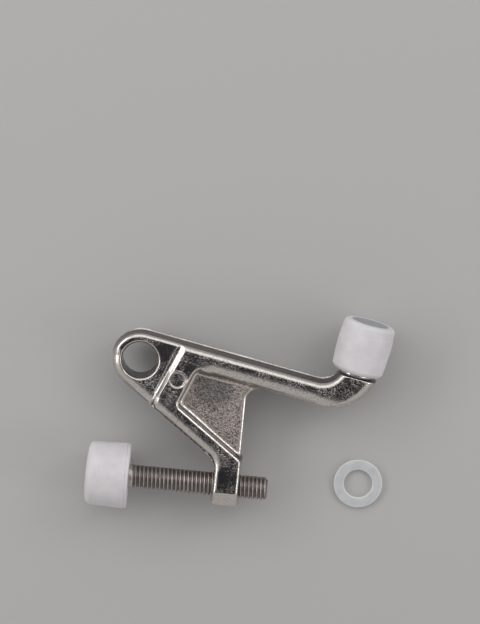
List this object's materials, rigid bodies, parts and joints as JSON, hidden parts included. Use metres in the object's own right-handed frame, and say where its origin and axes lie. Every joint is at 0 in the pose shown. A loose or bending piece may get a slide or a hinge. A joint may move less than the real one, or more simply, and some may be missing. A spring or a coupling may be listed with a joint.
{
  "type": "hinge pin door stop",
  "caption": "Chromed cast door stop for a hinge pin, with an adjusting screw through its lower leg, white rubber pads and a loose washer.",
  "frame": {"origin": "middle of the hinge pin bore, on the casting's parting plane", "axes": "+Z along the hinge pin bore, +X along the adjusting screw towards its free end, +Y towards the side that the door pad stands on; the stop lies flat on its side"},
  "size_m": [0.0735, 0.0533, 0.0164],
  "materials": {
    "chrome_casting": "bright plate over a slightly pitted cast skin",
    "plated_screw": "plated rolled thread",
    "white_rubber": "smooth satin white rubber",
    "natural_nylon": "milky natural nylon"
  },
  "bodies": {
    "casting": {"bracket": "chrome_casting", "door_pad": "white_rubber", "hinge_washer": "natural_nylon"},
    "jamb_end": {"jamb_pad": "white_rubber"},
    "screw": {"adjusting_screw": "plated_screw"}
  },
  "joints": [
    {"name": "screw_travel", "type": "slide", "parent": "casting", "child": "jamb_end", "axis": [1, 0, 0], "range_m": [-0.006, 0.017]},
    {"name": "screw_turn", "type": "hinge", "parent": "jamb_end", "child": "screw", "pos_m": [0, -0.03, 0], "axis": [1, 0, 0], "range_deg": [-2160, 6120]}
  ],
  "couplings": [
    {"joint": "screw_turn", "follows": "screw_travel", "rad_per_m": 6283.2}
  ]
}
